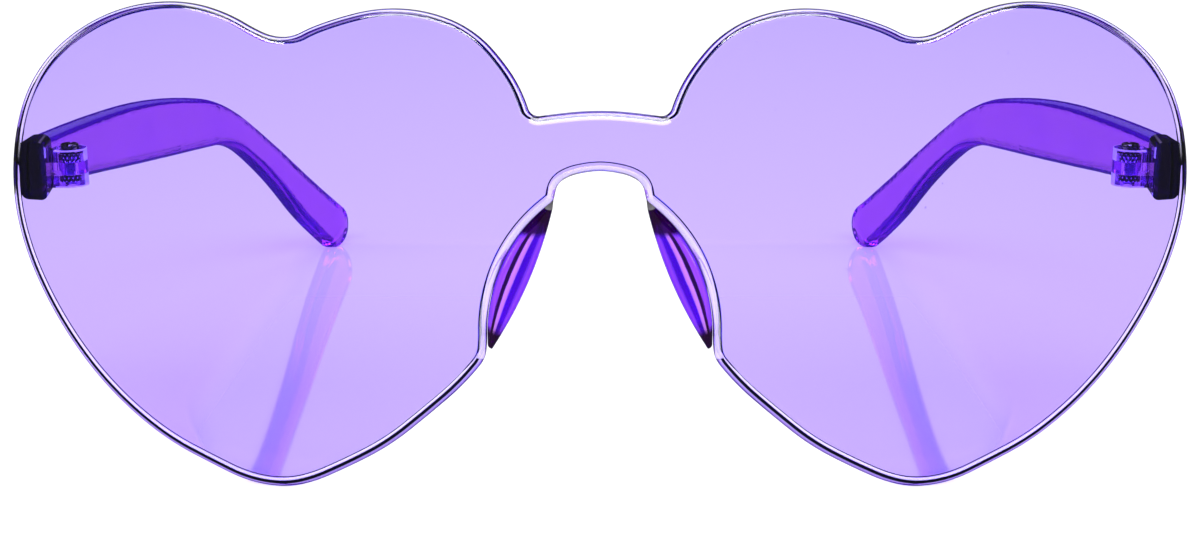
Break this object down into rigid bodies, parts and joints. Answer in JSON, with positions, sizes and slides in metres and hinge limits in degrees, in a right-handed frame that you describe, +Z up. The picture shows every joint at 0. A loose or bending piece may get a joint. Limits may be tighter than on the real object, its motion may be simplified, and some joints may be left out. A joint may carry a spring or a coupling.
{
  "type": "heart-shaped sunglasses",
  "caption": "Rimless sunglasses with a one-piece tinted front cut to heart outlines, wedge nose pads and folding temples.",
  "frame": {"origin": "on the table under the middle of the object's box, as it stands open on the two heart tips and the two temple tips", "axes": "+X to the wearer's left, +Y from the front back towards the ears, +Z up"},
  "size_m": [0.1502, 0.1376, 0.0623],
  "materials": {
    "tinted_lens": "polished clear purple sheet",
    "tinted_pad": "polished deep purple moulding",
    "tinted_hinge": "polished deep purple moulding",
    "tinted_temple": "polished clear purple moulding",
    "hinge_metal": "nickel-plated, knurled"
  },
  "bodies": {
    "front": {"front_lens": "tinted_lens", "left_nose_pad": "tinted_pad", "right_nose_pad": "tinted_pad", "left_end_piece": "tinted_hinge", "right_end_piece": "tinted_hinge", "left_hinge_screw": "hinge_metal", "right_hinge_screw": "hinge_metal", "left_hinge_bush": "hinge_metal", "right_hinge_bush": "hinge_metal", "left_hinge_nut": "hinge_metal", "right_hinge_nut": "hinge_metal"},
    "left_arm": {"left_temple": "tinted_temple"},
    "right_arm": {"right_temple": "tinted_temple"}
  },
  "joints": [
    {"name": "left_fold", "type": "hinge", "parent": "front", "child": "left_arm", "pos_m": [0.069, -0.05134, 0.03965], "axis": [0, 0, 1], "range_deg": [0, 85]},
    {"name": "right_fold", "type": "hinge", "parent": "front", "child": "right_arm", "pos_m": [-0.069, -0.05134, 0.03965], "axis": [0, 0, -1], "range_deg": [0, 80]}
  ]
}
